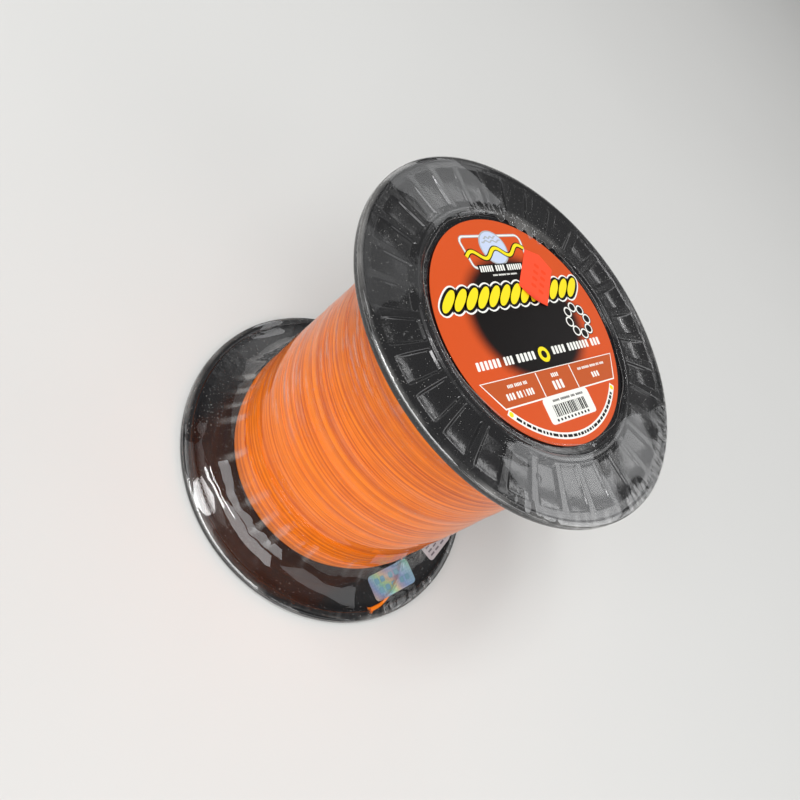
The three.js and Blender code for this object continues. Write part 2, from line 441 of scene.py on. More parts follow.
def specks(tree, scale, amount):
    """Specks of dust as a mask: small points, thicker in some places than in others."""
    cells = add(tree, "TexVoronoi", {"Vector": place_of(tree), "Scale": scale}, feature="F1")
    patches = noise(tree, place_of(tree), 60.0, 3.0)
    reach = maths(tree, "MULTIPLY", maths(tree, "MULTIPLY", patches, 0.26), amount)
    chosen = add(tree, "SeparateColor", {0: cells.outputs["Color"]})
    rare = maths(tree, "GREATER_THAN", chosen.outputs[0], 0.80)
    near = maths(tree, "LESS_THAN", cells.outputs["Distance"], reach)
    return maths(tree, "MULTIPLY", rare, near)


def scuffs(tree, scale, amount):
    """Fine scuffs as a mask: long thin streaks that lie both ways across a surface."""
    masks = []
    for turn, seed in ((0.5, 0.0), (2.1, 7.3)):
        laid = add(
            tree, "Mapping",
            {"Vector": place_of(tree), "Rotation": (0.3, 0.2, turn),
             "Location": (seed, 0, 0), "Scale": (2600.0, 90.0, 900.0)},
        )
        scaled = add(tree, "VectorMath", {0: laid.outputs[0], 3: scale}, operation="SCALE")
        streaks = noise(tree, scaled.outputs[0], 1.0, 2.0)
        masks.append(maths(tree, "MULTIPLY_ADD", streaks, 9.0, -5.9, clamp=True))
    return maths(tree, "MULTIPLY", maths(tree, "MAXIMUM", *masks), amount)


def grain(tree, scale, roughness):
    """Soft unevenness of a moulded surface, as a height."""
    settings = {"Vector": place_of(tree), "Scale": scale, "Detail": 4.0, "Roughness": roughness}
    return add(tree, "TexNoise", settings).outputs[0]


# Effects that more than one material uses: name, its nodes, its inputs and its output
EFFECTS = {
    "dust": ("Dust Specks", specks, ("Scale", "Amount"), "Mask"),
    "scuffs": ("Fine Scuffs", scuffs, ("Scale", "Amount"), "Mask"),
    "grain": ("Surface Grain", grain, ("Scale", "Roughness"), "Height"),
}


def effect_group(name, build, inputs, output):
    """The node group of an effect, made once."""
    if name in bpy.data.node_groups:
        return bpy.data.node_groups[name]
    group = bpy.data.node_groups.new(name, "ShaderNodeTree")
    for label in inputs:
        group.interface.new_socket(label, in_out="INPUT", socket_type="NodeSocketFloat")
    group.interface.new_socket(output, in_out="OUTPUT", socket_type="NodeSocketFloat")
    source, sink = group.nodes.new("NodeGroupInput"), group.nodes.new("NodeGroupOutput")
    result = build(group, *(source.outputs[label] for label in inputs))
    group.links.new(result, sink.inputs[output])
    return group


def use(tree, effect, **inputs):
    """Puts an effect's group in a material."""
    return add(tree, "Group", inputs, node_tree=effect_group(*EFFECTS[effect])).outputs[0]


def bumped(tree, shader, height, distance, strength=1.0):
    bump = add(tree, "Bump", {"Height": height, "Distance": distance, "Strength": strength})
    tree.links.new(bump.outputs[0], shader.inputs["Normal"])


# ---- Materials -----------------------------------------------------------------------------------


def flange_plastic(settings, marks=()):
    """Glossy black polystyrene with dust, scuffs and the round marks of the mould's pins."""
    material, tree, shader = new_material("Black Plastic")
    dust = use(tree, "dust", Scale=1800.0, Amount=1.0)
    scuff = use(tree, "scuffs", Scale=1.0, Amount=0.5)
    relief = use(tree, "grain", Scale=220.0, Roughness=0.6)
    base = tuple(settings.plastic)
    worn = mix_colours(tree, scuff, base, tinted(base, 3.2))
    dusty = mix_colours(tree, maths(tree, "MULTIPLY", dust, 0.55), worn, linear(205, 202, 196))
    plug(tree, shader, {
        "Base Color": dusty,
        "Roughness": maths(tree, "MULTIPLY_ADD", scuff, 0.25, 0.11),
        "IOR": 1.62,
    })
    where = place_of(tree)
    for mark in marks:
        away = add(tree, "VectorMath", {0: where, 1: mark}, operation="DISTANCE").outputs["Value"]
        band = maths(tree, "ABSOLUTE", maths(tree, "SUBTRACT", away, PIN_RADIUS))
        ring = maths(tree, "MULTIPLY_ADD", band, -1 / PIN_EDGE, 1.0, clamp=True)
        relief = maths(tree, "MULTIPLY_ADD", ring, 0.7, relief)
    bumped(tree, shader, relief, 0.05 * MM)
    return material


def core_plastic():
    """The satin black plastic of the core and the bore tube."""
    material, tree, shader = new_material("Core Plastic")
    scuff = use(tree, "scuffs", Scale=0.8, Amount=0.7)
    relief = use(tree, "grain", Scale=900.0, Roughness=0.6)
    dust = use(tree, "dust", Scale=1500.0, Amount=1.1)
    worn = mix_colours(tree, scuff, linear(28, 28, 31), linear(70, 70, 74))
    dusty = mix_colours(tree, maths(tree, "MULTIPLY", dust, 0.5), worn, linear(205, 202, 196))
    plug(tree, shader, {
        "Base Color": dusty,
        "Roughness": maths(tree, "MULTIPLY_ADD", scuff, 0.2, 0.42),
    })
    bumped(tree, shader, relief, 0.05 * MM)
    return material


def crepe_tape():
    """Creped paper tape. Its colour follows the crease relief and is darker in the hollows: painted
    shade.
    """
    material, tree, shader = new_material("Crepe Tape")
    where = place_of(tree)
    creases = add(
        tree, "TexNoise",
        {"Vector": add(tree, "Mapping", {"Vector": where, "Scale": (1.0, 1.0, 9.0)}).outputs[0],
         "Scale": 420.0, "Detail": 4.0},
    ).outputs[0]
    # The colour is darker where the crease relief is low: painted shade in the hollows.
    shade = ramp(tree, creases, (0.3, linear(196, 178, 128)), (0.7, linear(233, 220, 180)))
    plug(tree, shader, {"Base Color": shade, "Roughness": 0.75})
    bumped(tree, shader, creases, 0.08 * MM)
    return material


def braid_material(settings, name="Dyed Braid"):
    """Dyed polyethylene braid: slightly waxy, with its picks as fine relief. The mesh's tone attribute
    says which turns are deeper in colour, and it also carries painted shade between the turns and on
    sunk turns."""
    material, tree, shader = new_material(name)
    where = place_of(tree)
    tone = add(tree, "Attribute", attribute_name="tone").outputs["Fac"]
    parts = add(tree, "SeparateXYZ", {0: where})
    angle = maths(tree, "ARCTAN2", parts.outputs[1], parts.outputs[0])
    across = maths(tree, "MULTIPLY", parts.outputs[2], math.tau / settings.braid)
    picks = maths(tree, "SINE", maths(tree, "MULTIPLY_ADD", angle, 430.0, across))
    cloud = noise(tree, where, 130.0, 4.0)
    # The picks lighten the colour on their crests and darken it in their hollows: painted shade in the
    # weave.
    mottle = maths(tree, "MULTIPLY_ADD", cloud, 0.5, maths(tree, "MULTIPLY_ADD", picks, 0.08, -0.25))
    share = maths(tree, "ADD", tone, mottle, clamp=True)
    shade = mix_colours(tree, share, tuple(settings.deep_and_shade), tuple(settings.bright))
    plug(tree, shader, {"Base Color": shade, "Roughness": 0.5, "Specular IOR Level": 0.25})
    bumped(tree, shader, picks, 0.03 * MM, 0.5)
    return material


def ink(name, shade, gloss=0.32, speckle=0.04):
    """Printed ink: an even colour with the slight mottle and dot grain of a press."""
    material, tree, shader = new_material(name)
    where = place_of(tree)
    dots = noise(tree, where, 5200.0, 2.0)
    cloud = noise(tree, where, 90.0, 3.0)
    shift = maths(tree, "MULTIPLY_ADD", dots, speckle * 2, 1 - speckle)
    shift = maths(tree, "MULTIPLY", shift, maths(tree, "MULTIPLY_ADD", cloud, 0.10, 0.95))
    scaled = add(tree, "VectorMath", {0: tuple(shade), 3: shift}, operation="SCALE").outputs[0]
    plug(tree, shader, {
        "Base Color": scaled,
        "Roughness": maths(tree, "MULTIPLY_ADD", cloud, 0.12, gloss),
        "Specular IOR Level": 0.2,
    })
    bumped(tree, shader, cloud, 0.04 * MM, 0.6)
    return material


def label_stock(settings, oval_middle, oval_size):
    """The label's printed ground, with a soft-edged black oval behind the lettering band."""
    material, tree, shader = new_material("Label Stock")
    where = place_of(tree)
    centred = add(
        tree, "Mapping",
        {"Vector": where,
         "Location": (-oval_middle[0] / oval_size[0], -oval_middle[1] / oval_size[1], 0),
         "Scale": (1 / oval_size[0], 1 / oval_size[1], 0)},
    ).outputs[0]
    away = add(tree, "VectorMath", {0: centred}, operation="LENGTH").outputs["Value"]
    soft = add(
        tree, "MapRange", {0: away, 1: 0.84, 2: 1.1, 3: 1.0, 4: 0.0}, interpolation_type="SMOOTHSTEP"
    ).outputs[0]
    dots = noise(tree, where, 5200.0, 2.0)
    cloud = noise(tree, where, 60.0, 3.0)
    ground = mix_colours(
        tree, maths(tree, "MULTIPLY_ADD", dots, 0.5, -0.1, clamp=True),
        tuple(settings.label), tinted(settings.label, 1.12),
    )
    shade = mix_colours(tree, soft, ground, tuple(settings.black))
    plug(tree, shader, {
        "Base Color": shade,
        "Roughness": maths(tree, "MULTIPLY_ADD", cloud, 0.12, 0.3),
        "Specular IOR Level": 0.2,
    })
    bumped(tree, shader, cloud, 0.05 * MM, 0.6)
    return material


def price_paper(settings):
    """Fluorescent paper with its fibres showing."""
    material, tree, shader = new_material("Price Paper")
    where = place_of(tree)
    fibres = noise(tree, where, 1500.0, 5.0)
    cloud = noise(tree, where, 160.0, 3.0)
    shade = mix_colours(
        tree, maths(tree, "MULTIPLY_ADD", cloud, 0.8, -0.15, clamp=True),
        tuple(settings.price), tinted(settings.price, 0.84),
    )
    plug(tree, shader, {"Base Color": shade, "Roughness": 0.62})
    bumped(tree, shader, maths(tree, "MULTIPLY_ADD", cloud, 0.6, fibres), 0.05 * MM, 0.8)
    return material


def plain_paper(name, shade):
    """Coated paper, a little mottled."""
    material, tree, shader = new_material(name)
    where = place_of(tree)
    fibres = noise(tree, where, 1800.0, 5.0)
    cloud = noise(tree, where, 110.0, 3.0)
    mixed = mix_colours(tree, cloud, tinted(shade, 0.86), tinted(shade, 1.1))
    plug(tree, shader, {"Base Color": mixed, "Roughness": 0.5})
    bumped(tree, shader, fibres, 0.03 * MM, 0.8)
    return material


def hologram_foil():
    """Iridescent foil: soft bands of pastel colour broken up by a fine embossed net."""
    material, tree, shader = new_material("Hologram Foil")
    where = place_of(tree)
    bent = noise(tree, where, 70.0, 1.0, "Color")
    bend = {0: bent, 1: (0.011, 0.011, 0), 2: where}
    moved = add(tree, "VectorMath", bend, operation="MULTIPLY_ADD")
    parts = add(tree, "SeparateXYZ", {0: moved.outputs[0]})
    across = maths(tree, "MULTIPLY", parts.outputs[0], 66.0)
    phase = maths(tree, "FRACT", maths(tree, "MULTIPLY_ADD", parts.outputs[1], 50.0, across))
    shade = ramp(
        tree, phase,
        (0.0, linear(150, 215, 190)), (0.2, linear(196, 228, 160)), (0.38, linear(230, 205, 165)),
        (0.55, linear(192, 176, 192)), (0.72, linear(150, 178, 220)), (0.88, linear(165, 210, 222)),
        (1.0, linear(150, 215, 190)),
    )
    net = add(
        tree, "TexVoronoi", {"Vector": where, "Scale": 900.0, "Randomness": 0.0}, feature="F1"
    ).outputs["Distance"]
    netted = mix_colours(tree, maths(tree, "MULTIPLY", net, 0.5), shade, linear(90, 110, 150))
    plug(tree, shader, {"Base Color": netted, "Metallic": 0.55, "Roughness": 0.34})
    bumped(tree, shader, net, 0.04 * MM, 0.7)
    return material


def film_material(settings):
    """Clear shrink film: it mirrors as thin plastic does, and is a little milky where creased. Its haze
    also paints whitish streaks where lamps would be mirrored: a painted reflection.
    """
    material, tree, shine = new_material("Shrink Film")
    where = place_of(tree)
    output = tree.nodes["Material Output"]
    silver = (0.98, 0.99, 1.0, 1.0)
    plug(tree, shine, {"Base Color": silver, "Metallic": 1.0, "Roughness": 0.035})
    pale = (*linear(232, 230, 226), 1.0)
    milk = add(tree, "BsdfPrincipled", {"Base Color": pale, "Roughness": 0.5})
    clear = add(tree, "BsdfTransparent", {"Color": (0.985, 0.985, 0.985, 1.0)})
    facing = add(tree, "LayerWeight", {"Blend": 0.5}).outputs["Facing"]
    grazing = maths(tree, "POWER", facing, 4.5)
    creases = add(tree, "Attribute", attribute_name="crease").outputs["Fac"]
    doubled = maths(tree, "MULTIPLY_ADD", creases, 0.12, 0.05)
    tight = maths(tree, "ADD", creases, 1.0, clamp=True)
    glancing = maths(tree, "MULTIPLY", grazing, tight)
    mirror = maths(tree, "MULTIPLY_ADD", glancing, 0.7, doubled, clamp=True)
    # The streak attribute holds white haze that paints reflections of lamps. It also holds milky haze
    # where the film laps the label and on the curled edge of the hole.
    streaks = add(tree, "Attribute", attribute_name="streak").outputs["Fac"]
    cloud = noise(tree, where, 85.0, 5.0)
    patchy = maths(tree, "MULTIPLY_ADD", cloud, 2.4, -0.9, clamp=True)
    dust = specks(tree, 1500.0, 1.1)
    haze = maths(tree, "MULTIPLY_ADD", maths(tree, "MULTIPLY", creases, patchy), 0.5, settings.haze)
    haze = maths(tree, "MULTIPLY_ADD", streaks, 0.2, haze)
    haze = maths(tree, "MAXIMUM", haze, maths(tree, "MULTIPLY", dust, 0.5), clamp=True)
    shown = add(tree, "MixShader", {0: mirror, 1: clear.outputs[0], 2: shine.outputs[0]})
    whole = add(tree, "MixShader", {0: haze, 1: shown.outputs[0], 2: milk.outputs[0]})
    tree.links.new(whole.outputs[0], output.inputs["Surface"])
    fine = noise(tree, where, 120.0, 2.0)
    bumped(tree, shine, fine, 0.03 * MM, 0.5)
    return material


def floor_material(settings):
    """Pale matt floor with a faint mottle."""
    material, tree, shader = new_material("Pale Floor")
    where = place_of(tree)
    cloud = noise(tree, where, 3.0, 3.0)
    shade = mix_colours(tree, cloud, tinted(settings.floor, 0.97), tinted(settings.floor, 1.03))
    plug(tree, shader, {"Base Color": shade, "Roughness": 0.9})
    return material


# ---- Stage ---------------------------------------------------------------------------------------


# Soft boxes as seen from the spool: azimuths from +X, elevations, both in degrees, and radiance
WINDOWS = (
    ("shelf_left", (25.5, 50), (33.4, 37.4), 1.5),
    ("shelf_left_high", (25, 44), (41.0, 45.0), 0.5),
    ("shelf_left_top", (27.5, 34), (47.5, 52.5), 1.5),
    ("shelf_right_low", (-48, 3), (30.5, 33.5), 1.2),
    ("shelf_right", (-48, 4), (34.4, 37.2), 1.8),
    ("shelf_right_high", (-48, 6), (37.9, 46.5), 2.45),
    ("shelf_back", (50, 64), (22, 33), 2.2),
    ("lamp_high", (118, 158), (71.0, 78.5), 14.0),
    ("lamp_middle", (140, 175), (61.2, 66.2), 20.0),
    ("lamp_low", (150, 190), (54.5, 56.5), 24.0),
    ("ceiling", (100, 170), (57, 82), 0.8),
    ("slot", (6, 17), (32.6, 34.2), 6.5),
    ("side", (240, 292), (22, 50), 1.3),
    ("key", (172, 237), (44, 70), 4.3),
    ("fill", (150, 235), (18, 42), 3.6),
)


def aimed(obj, target):
    direction = Vector(target) - obj.location
    obj.rotation_mode = "QUATERNION"
    obj.rotation_quaternion = direction.to_track_quat("-Z", "Y")


def light_panel(name, azimuth, elevation, distance, width, height, radiance):
    """A soft box that faces the spool. azimuth is counted from +X towards +Y, in degrees."""
    light = bpy.data.lights.new(name, "AREA")
    light.shape = "RECTANGLE"
    light.size, light.size_y = width, height
    light.energy = radiance * math.pi * width * height
    obj = bpy.data.objects.new(name, light)
    bpy.context.scene.collection.objects.link(obj)
    a, e = math.radians(azimuth), math.radians(elevation)
    middle = Vector((0, 0, MIDDLE_HEIGHT))
    direction = Vector((math.cos(e) * math.cos(a), math.cos(e) * math.sin(a), math.sin(e)))
    obj.location = middle + distance * direction
    aimed(obj, middle)
    return obj


def make_camera(settings):
    camera = bpy.data.cameras.new("camera")
    camera.sensor_width = 36.0
    camera.lens = settings.lens
    camera.shift_x, camera.shift_y = LENS_SHIFT
    camera.clip_start = 0.01
    heading, tilt, roll = settings.heading, settings.tilt, settings.roll
    look = Vector((
        math.cos(tilt) * math.cos(heading), math.cos(tilt) * math.sin(heading), -math.sin(tilt)
    ))
    level = Vector((math.sin(heading), -math.cos(heading), 0))
    rise = level.cross(look)
    right = level * math.cos(roll) + rise * math.sin(roll)
    up = rise * math.cos(roll) - level * math.sin(roll)
    place = Vector(settings.place) + Vector((0, 0, MIDDLE_HEIGHT))
    obj = bpy.data.objects.new("camera", camera)
    obj.matrix_world = Matrix((
        (right.x, up.x, -look.x, place.x),
        (right.y, up.y, -look.y, place.y),
        (right.z, up.z, -look.z, place.z),
        (0, 0, 0, 1),
    ))
    bpy.context.scene.collection.objects.link(obj)
    bpy.context.scene.camera = obj


def make_floor(settings):
    reach, drop = 4.0, 0.02 * MM
    points = turned(np.array([(radius, -drop) for radius in np.linspace(0.001, reach, 12)]), 64)
    mesh = grid_mesh("floor", points)
    floor = bpy.data.objects.new("floor", mesh)
    bpy.context.scene.collection.objects.link(floor)
    mesh.materials.append(floor_material(settings))


def make_lights(settings):
    world = bpy.data.worlds.new("Studio")
    world.use_nodes = True
    background = world.node_tree.nodes["Background"]
    background.inputs["Color"].default_value = (1.0, 1.0, 1.0, 1.0)
    background.inputs["Strength"].default_value = settings.room
    bpy.context.scene.world = world
    for name, azimuths, elevations, radiance in WINDOWS:
        reach = 2.2  # distance from the spool, in metres
        azimuth, elevation = sum(azimuths) / 2, sum(elevations) / 2
        wide = math.radians(azimuths[1] - azimuths[0]) * math.cos(math.radians(elevation))
        tall = math.radians(elevations[1] - elevations[0])
        light_panel(name, azimuth, elevation, reach, reach * wide, reach * tall, radiance)


# ---- Flanges and core ----------------------------------------------------------------------------


def pocket_angles(settings):
    """Angles round a flange, close together at the pockets' walls."""
    pitch = math.tau / settings.pockets
    rib = settings.rib_width / 2 / RIB_PLACE
    wall = settings.wall_width / RIB_PLACE
    near = [0, 0.75 * rib, *(rib + wall * np.linspace(0, 1, 4))]
    open_floor = np.linspace(rib + 1.7 * wall, pitch / 2, 5)
    half = np.array([*near, *open_floor])
    one = np.concatenate([half, pitch - half[-2:0:-1]])
    return (np.arange(settings.pockets)[:, None] * pitch + one[None]).ravel()


def flange_points(settings):
    """One flange as rows of points, its inner face at height 0 and its outer face up."""
    radius = settings.radius
    rim, face, seat = settings.rim_height, settings.face_height, settings.seat_height
    ring = settings.ring_radius
    bore = ARBOR_HIGH.x - 2.0 * MM
    socket = ARBOR_HIGH.x + 0.3 * MM
    spigot = BARREL_HIGH.x - 2.3 * MM
    small, edge = 0.15 * MM, 0.3 * MM
    outline = [
        (bore, 0, small),
        (socket, 0, small),
        (socket, -6.0 * MM, small),
        (socket + 1.8 * MM, -6.0 * MM, small),
        (socket + 1.8 * MM, 0, edge),
        (spigot - 1.8 * MM, 0, edge),
        (spigot - 1.8 * MM, -8.0 * MM, small),
        (spigot, -8.0 * MM, small),
        (spigot, 0, small),
        (radius - 3.2 * MM, 0, edge),
        (radius - 2.8 * MM, -0.25 * MM, edge),
        (radius, -0.25 * MM, 0.95 * MM),
        (radius, rim, 0.75 * MM),
        (radius - 1.6 * MM, rim, 0.35 * MM),
        (radius - 2.1 * MM, face, edge),
        *((reach, face, 0) for reach in np.linspace(radius - 3.9 * MM, ring + 1.8 * MM, 28)),
        (ring + 1.25 * MM, face, edge),
        (ring + 0.55 * MM, rim, 0.4 * MM),
        (ring - 0.55 * MM, rim, 0.4 * MM),
        (ring - 1.25 * MM, face, small),
        (settings.seat_radius, face, small),
        (settings.seat_radius - 0.05 * MM, seat, small),
        (bore, seat, small),
    ]
    profile = refined(rounded(outline, steps=3), 6 * MM)
    points = turned(profile, pocket_angles(settings))
    reach = np.hypot(points[..., 0], points[..., 1])
    angle = np.arctan2(points[..., 1], points[..., 0])
    pitch = math.tau / settings.pockets
    from_rib = np.abs((angle + pitch / 2) % pitch - pitch / 2) * RIB_PLACE
    half_rib = settings.rib_width / 2
    walls = smooth_step(half_rib, half_rib + settings.wall_width, from_rib)
    inner_ramp = smooth_step(ring + 1.5 * MM, ring + 2.6 * MM, reach)
    dish, end = radius - 12.7 * MM, radius - 4.1 * MM
    outer_ramp = 1 - np.clip((reach - dish) / (end - dish), 0, 1) ** 2
    on_face = points[..., 2] > face - 0.05 * MM
    crown = 0.07 * MM * np.sin(math.pi * from_rib / (pitch * RIB_PLACE))
    depth = (settings.pocket_depth + crown) * walls * inner_ramp * outer_ramp
    points[..., 2] -= np.where(on_face, depth, 0)
    warp = ripple(angle, reach / (60 * MM), 5, (2, 6), (0.2, 1.0), 8)
    points[..., 2] += 0.05 * MM * warp * smooth_step(ring, radius, reach)
    return points


def make_flanges(context):
    settings = context.scene.spool_flanges
    front_inner = FLANGE_HIGH.z - settings.rim_height
    floor = front_inner + settings.face_height - settings.pocket_depth
    marks = [
        (PIN_CIRCLE * math.cos(a), PIN_CIRCLE * math.sin(a), floor)
        for a in (math.radians(angle) for angle in PIN_ANGLES)
    ]
    plastic = flange_plastic(settings, marks)
    points = flange_points(settings)
    front = points + np.array([0, 0, front_inner])
    mesh = grid_mesh("front_flange_shell", front[::-1], wrap_rows=True)
    piece("front_flange_shell", mesh, [plastic], "black_plastic", "front_flange", sharp=50)
    rear = points * [1, -1, -1] + np.array([0, 0, REAR_LOW.z + settings.rim_height])
    mesh = grid_mesh("rear_flange_shell", rear[::-1], wrap_rows=True)
    piece("rear_flange_shell", mesh, [plastic], "black_plastic", "rear_flange", sharp=50)


def make_core(context):
    plastic = core_plastic()
    wall, small = 2.0 * MM, 0.2 * MM
    for name, node, low, high in (
        ("core_barrel_tube", "core_barrel", BARREL_LOW, BARREL_HIGH),
        ("arbor_bore_tube", "arbor_tube", ARBOR_LOW, ARBOR_HIGH),
    ):
        outline = [
            (high.x - wall, low.z, small), (high.x, low.z, small),
            (high.x, high.z, small), (high.x - wall, high.z, small),
        ]
        points = turned(refined(rounded(outline), 6 * MM), 128)
        piece(name, grid_mesh(name, points[::-1], wrap_rows=True), [plastic], "core_plastic", node)
    tape_low, tape_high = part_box("anchor_tape")
    sweep, count = 50, 60
    angles = np.radians(np.linspace(0, sweep, count))
    inner, outer = BARREL_HIGH.x + 0.05 * MM, BARREL_HIGH.x + 0.22 * MM
    ragged = 0.35 * MM * np.sin(np.arange(count) * 2.4)
    rows = []
    for radius, height in ((inner, 0), (outer, 0), (outer, 1), (inner, 1)):
        z = tape_low.z + (tape_high.z - tape_low.z) * height
        shift = ragged if height else -ragged
        rows.append(np.stack([radius * np.cos(angles), radius * np.sin(angles), z + shift], axis=-1))
    mesh = grid_mesh("anchor_tape_strip", np.array(rows), wrap_rows=True, wrap_columns=False)
    piece("anchor_tape_strip", mesh, [crepe_tape()], "tape", "anchor_tape")


# ---- Line ----------------------------------------------------------------------------------------


def pack_radius(height):
    """Radius of the wound surface at a height above the rear face."""
    shoulder = 11 * MM
    from_end = np.minimum(height - PACK_LOW.z, PACK_HIGH.z - height)
    share = np.clip(from_end / shoulder, 0, 1)
    return PACK_END + (PACK_MIDDLE - PACK_END) * (1 - (1 - share) ** 2)


def make_line_pack(context):
    settings = context.scene.spool_line
    braid = settings.braid
    columns, samples = 128, 3
    turns = int((PACK_HIGH.z - PACK_LOW.z) / braid)
    draw = np.random.default_rng(21)
    angle = np.linspace(0, math.tau, columns, endpoint=False)
    row = np.arange(turns * samples + 1)
    turn = row / samples
    along = (turn / turns)[:, None]
    height = PACK_LOW.z + (PACK_HIGH.z - PACK_LOW.z) * along
    wander = ripple(angle[None], along, 3, (1, 3), (2.0, 14.0), 16) * 0.5 * braid
    edge = np.minimum(along, 1 - along)
    laid = height + wander * smooth_step(0, 0.03, edge)
    which = np.floor(turn).astype(int)
    sunk = draw.choice([0, 0, 0, 0.4, 1.0], turns + 1) * draw.uniform(0.4, 1, turns + 1)
    relief = np.abs(np.sin(math.pi * turn))[:, None] * 0.4 * braid
    uneven = settings.unevenness * ripple(angle[None], along, 8, (0, 3), (1.0, 9.0), 16)
    fade = 0.5 + 0.5 * np.sin(angle[None] * draw.integers(1, 3, turns + 1)[which][:, None]
                              + draw.uniform(0, math.tau, turns + 1)[which][:, None])
    drop = sunk[which][:, None] * fade * 0.45 * braid
    radius = pack_radius(height) + relief + uneven - drop - 0.3 * braid
    points = np.stack([radius * np.cos(angle), radius * np.sin(angle), laid + 0 * radius], axis=-1)
    ends = np.array([(PACK_INNER, PACK_LOW.z), (PACK_INNER, PACK_HIGH.z)])
    low_cap, high_cap = turned(ends, columns)
    points = np.concatenate([[low_cap], points, [high_cap]])
    mesh = grid_mesh("line_winding", points, wrap_rows=True)
    # The tone mixes a random tint per turn and broad random bands with painted shade. between darkens
    # the grooves between the turns, and sunk turns are darkened where they drop. The end caps take a
    # fixed tone of 0.4.
    tint = draw.normal(0, 0.26, turns + 1)[which][:, None]
    band = 0.06 * ripple(angle[None], along, 12, (0, 2), (4.0, 40.0), 20)
    between = 0.35 * (1 - np.abs(np.sin(math.pi * turn)))[:, None]
    tone = np.clip(0.72 + tint + band - between - 0.9 * sunk[which][:, None] * fade * 0.5, 0, 1)
    tone = np.concatenate([np.full((1, columns), 0.4), tone, np.full((1, columns), 0.4)])
    material = braid_material(settings)
    marked(mesh, tone=tone.ravel())
    piece("line_winding", mesh, [material], "braid", "line_pack", sharp=0)
    make_riders(settings, material, draw)


def make_riders(settings, material, draw):
    """Turns that run a little askew over the rest and dive in at both ends."""
    parts, tones = [], []
    for _ in range(settings.riders):
        sweep = draw.uniform(1.2, 5.5)
        start_angle = draw.uniform(0, math.tau)
        middle = draw.uniform(PACK_LOW.z + 6 * MM, PACK_HIGH.z - 6 * MM)
        rise = draw.choice([-1, 1]) * draw.uniform(1.0, 5.5) * MM
        steps = int(sweep * 16)
        share = np.linspace(0, 1, steps)
        angle = start_angle + sweep * share
        height = np.clip(middle + rise * (share - 0.5), PACK_LOW.z + MM, PACK_HIGH.z - MM)
        dive = np.sin(math.pi * share) ** 0.4
        radius = pack_radius(height) + (-0.9 + 1.05 * dive) * settings.braid
        path = np.stack([radius * np.cos(angle), radius * np.sin(angle), height], axis=-1)
        points, faces = tube_mesh_part(path, settings.braid * 0.46, sides=6)
        parts.append((points, faces, 0))
        tones += [draw.uniform(0.55, 0.95)] * len(points)
    mesh = joined_mesh("line_riders", parts)
    marked(mesh, tone=tones)
    piece("line_riders", mesh, [material], "braid", sharp=0)


TAIL_ROUTE = [(10.8, -41.8), (9.4, -45.4), (4.4, -50.8), (-1.6, -54.6), (-6.8, -56.2), (-11.7, -56.4)]


def curve_through(points, count):
    """Points along a smooth curve through a few points."""
    points = np.asarray(points, float)
    padded = np.vstack([2 * points[0] - points[1], points, 2 * points[-1] - points[-2]])
    line = []
    for t in np.linspace(0, len(points) - 1, count):
        i = min(int(t), len(points) - 2)
        s = t - i
        a, b, c, d = padded[i:i + 4]
        line.append(0.5 * (
            2 * b + (c - a) * s + (2 * a - 5 * b + 4 * c - d) * s ** 2
            + (3 * b - a - 3 * c + d) * s ** 3
        ))
    return np.array(line)


def make_line_tail(context):
    settings = context.scene.spool_line
    floor = REAR_HIGH.z - COLLARS
    route = curve_through([(x * MM, y * MM, 0) for x, y in TAIL_ROUTE], 60)
    route[:, 2] = floor + 0.24 * MM
    share = np.linspace(0, 1, len(route))
    route[:, 2] += 0.5 * MM * smooth_step(0.75, 1, share)
    width = settings.braid * (0.75 + 1.0 * smooth_step(0.55, 0.95, share))
    parts = [(*tube_mesh_part(route, width, sides=10, flat=0.34), 0)]
    draw = np.random.default_rng(4)
    end, before = route[-1], route[-6]
    forward = (end - before) / np.linalg.norm(end - before)
    side = np.array([-forward[1], forward[0], 0])
    for strand in range(22):
        spread = (strand - 10.5) / 10.5
        reach = draw.uniform(0.7, 2.0) * MM
        bow = draw.uniform(-0.3, 0.5) * MM
        steps = np.linspace(0, 1, 8)[:, None]
        path = (
            end - forward * 0.6 * MM + side * spread * 0.55 * MM
            + forward * reach * steps
            + side * spread * 0.75 * MM * steps ** 1.5
            + np.array([0, 0, 1]) * bow * steps ** 2
        )
        parts.append((*tube_mesh_part(path, 0.055 * MM, sides=5), 0))
    mesh = joined_mesh("line_tail_end", parts)
    marked(mesh, tone=0.9)
    piece("line_tail_end", mesh, [braid_material(settings, "Tail Braid")], "braid", "line_tail", sharp=0)


# ---- Label ---------------------------------------------------------------------------------------


def circle(x, y, radius, count=48):
    angles = np.linspace(0, math.tau, count, endpoint=False)
    return np.stack([x + radius * np.cos(angles), y + radius * np.sin(angles)], axis=-1)


def rounded_box(x, y, width, height, corner):
    """A box's outline, counter-clockwise, with its middle at x, y."""
    a, b = width / 2, height / 2
    corner = min(corner, a * 0.99, b * 0.99)
    return rounded([
        (x - a, y - b, corner), (x + a, y - b, corner), (x + a, y + b, corner), (x - a, y + b, corner),
    ])


def widened(outline, by):
    """An outline moved outwards by a distance."""
    outline = np.asarray(outline, float)
    ahead = np.roll(outline, -1, axis=0) - outline
    behind = outline - np.roll(outline, 1, axis=0)
    ahead /= np.maximum(np.linalg.norm(ahead, axis=1, keepdims=True), 1e-9)
    behind /= np.maximum(np.linalg.norm(behind, axis=1, keepdims=True), 1e-9)
    along = ahead + behind
    along /= np.maximum(np.linalg.norm(along, axis=1, keepdims=True), 1e-9)
    return outline + np.stack([along[:, 1], -along[:, 0]], axis=-1) * by


